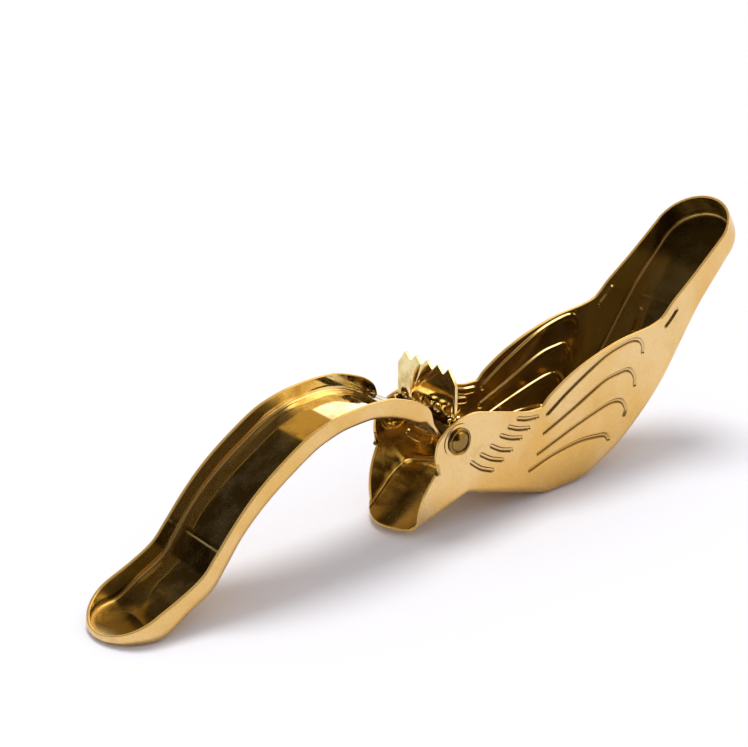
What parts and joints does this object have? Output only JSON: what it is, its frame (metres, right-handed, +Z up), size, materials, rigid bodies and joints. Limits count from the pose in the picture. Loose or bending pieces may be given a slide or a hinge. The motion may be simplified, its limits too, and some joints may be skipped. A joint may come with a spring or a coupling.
{
  "type": "citrus wedge squeezer",
  "caption": "Bird-shaped hand squeezer for a citrus wedge: a pressed channel body with beak spout and tail handle, and a hinged press lever with a toothed, drilled strainer.",
  "frame": {"origin": "middle of the open squeezer's length and width, on the table it rests on", "axes": "+X from the lever's tip to the bird's tail, +Y to the bird's far side, +Z up"},
  "size_m": [0.2186, 0.0302, 0.0697],
  "materials": {
    "body_sheet": "polished gold-toned sheet with light handling smudges",
    "lever_sheet": "polished gold-toned sheet, worn bright at the thumb rest",
    "strainer_sheet": "polished gold-toned sheet, cut edges dull",
    "rivet": "polished darker gold rivet head",
    "spacer": "plain turned brass"
  },
  "bodies": {
    "bird": {"bird_body": "body_sheet", "eye_rivet_left": "rivet", "eye_rivet_right": "rivet", "spacer_ring_left": "spacer", "spacer_ring_right": "spacer"},
    "lever": {"press_lever": "lever_sheet", "strainer_plate": "strainer_sheet"}
  },
  "joints": [
    {"name": "lever_hinge", "type": "hinge", "parent": "bird", "child": "lever", "pos_m": [-0.00725, 0, 0.0262], "axis": [0, 1, 0], "range_deg": [0, 146]}
  ]
}
